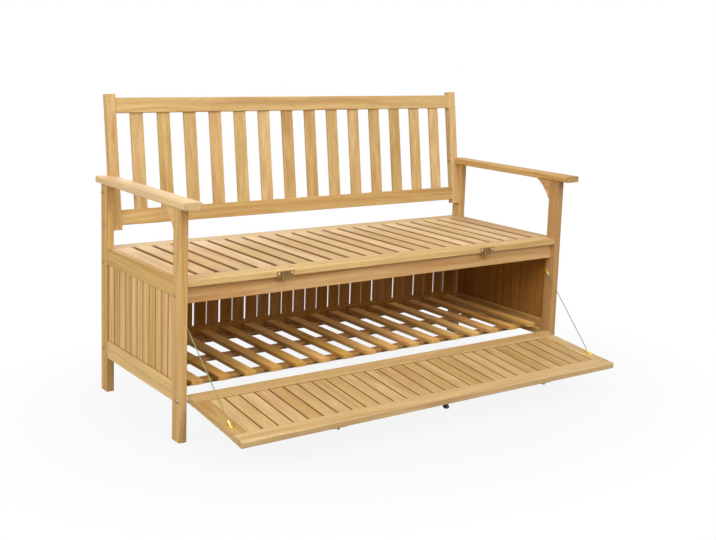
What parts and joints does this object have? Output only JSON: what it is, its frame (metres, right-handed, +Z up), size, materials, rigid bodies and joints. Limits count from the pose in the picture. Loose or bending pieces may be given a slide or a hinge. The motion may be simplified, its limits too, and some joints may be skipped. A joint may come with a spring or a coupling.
{
  "type": "garden storage bench",
  "caption": "Slatted wooden garden bench with armrests and a storage box under the seat; the front drops open on pivot bolts and hangs on two stays",
  "frame": {"origin": "middle of the bench's footprint box on the ground, with the front flap open as it rests", "axes": "+X to the right seen from the front, +Y from the front to the back, +Z up"},
  "size_m": [1.48, 0.8836, 0.9262],
  "materials": {
    "oiled_wood": "oiled honey-coloured hardwood, planed, with fine straight grain",
    "brass": "thin brass-plated sheet and wire fittings, slightly dull",
    "steel": "dull yellow zinc-plated bolts",
    "black_knob": "black moulded knob, satin",
    "pale_spacer": "pale moulded spacer",
    "stay_wire": "grey-green coated wire rope"
  },
  "bodies": {
    "frame": {"apron": "oiled_wood", "arm_bracket_left": "oiled_wood", "arm_bracket_right": "oiled_wood", "arm_dowels": "oiled_wood", "armrest_left": "oiled_wood", "armrest_right": "oiled_wood", "back_bottom_rail": "oiled_wood", "back_slats": "oiled_wood", "back_stile_left": "oiled_wood", "back_stile_right": "oiled_wood", "back_top_rail": "oiled_wood", "barrel_nuts": "steel", "floor_battens": "oiled_wood", "floor_cleat_left": "oiled_wood", "floor_cleat_right": "oiled_wood", "floor_slats": "oiled_wood", "frame_bolts": "steel", "front_post_left": "oiled_wood", "front_post_right": "oiled_wood", "latch_pins": "brass", "latch_plates": "brass", "latch_screws": "brass", "pivot_bolts": "steel", "pivot_spacers": "pale_spacer", "rear_bottom_rail": "oiled_wood", "rear_post_left": "oiled_wood", "rear_post_right": "oiled_wood", "rear_slats": "oiled_wood", "rear_top_rail": "oiled_wood", "seat_batten": "oiled_wood", "seat_cleat_left": "oiled_wood", "seat_cleat_right": "oiled_wood", "seat_front_rail": "oiled_wood", "seat_rear_rail": "oiled_wood", "seat_slats": "oiled_wood", "side_boards_left": "oiled_wood", "side_boards_right": "oiled_wood", "side_bottom_rail_left": "oiled_wood", "side_bottom_rail_right": "oiled_wood", "side_top_rail_left": "oiled_wood", "side_top_rail_right": "oiled_wood", "stay_left": "stay_wire", "stay_right": "stay_wire", "stay_upper_ends": "brass", "stay_upper_screws": "brass"},
    "flap": {"flap_top_rail": "oiled_wood", "flap_bottom_rail": "oiled_wood", "flap_stile_left": "oiled_wood", "flap_stile_right": "oiled_wood", "flap_boards": "oiled_wood", "flap_knob": "black_knob", "knob_screw": "steel", "flap_keepers": "brass", "keeper_screws": "brass", "stay_lower_ends": "brass", "stay_lower_screws": "brass"},
    "hasp_left": {"hasp_left": "brass"},
    "hasp_right": {"hasp_right": "brass"}
  },
  "joints": [
    {"name": "flap_hinge", "type": "hinge", "parent": "frame", "child": "flap", "pos_m": [0, -0.13669, 0.119], "axis": [-1, 0, 0], "range_deg": [0, 95.9], "deforming": ["stay_left", "stay_right"]},
    {"name": "hasp_left_hinge", "type": "hinge", "parent": "frame", "child": "hasp_left", "pos_m": [-0.388, -0.14719, 0.4295], "axis": [1, 0, 0], "range_deg": [0, 180]},
    {"name": "hasp_right_hinge", "type": "hinge", "parent": "frame", "child": "hasp_right", "pos_m": [0.388, -0.14719, 0.4295], "axis": [1, 0, 0], "range_deg": [0, 180]}
  ]
}
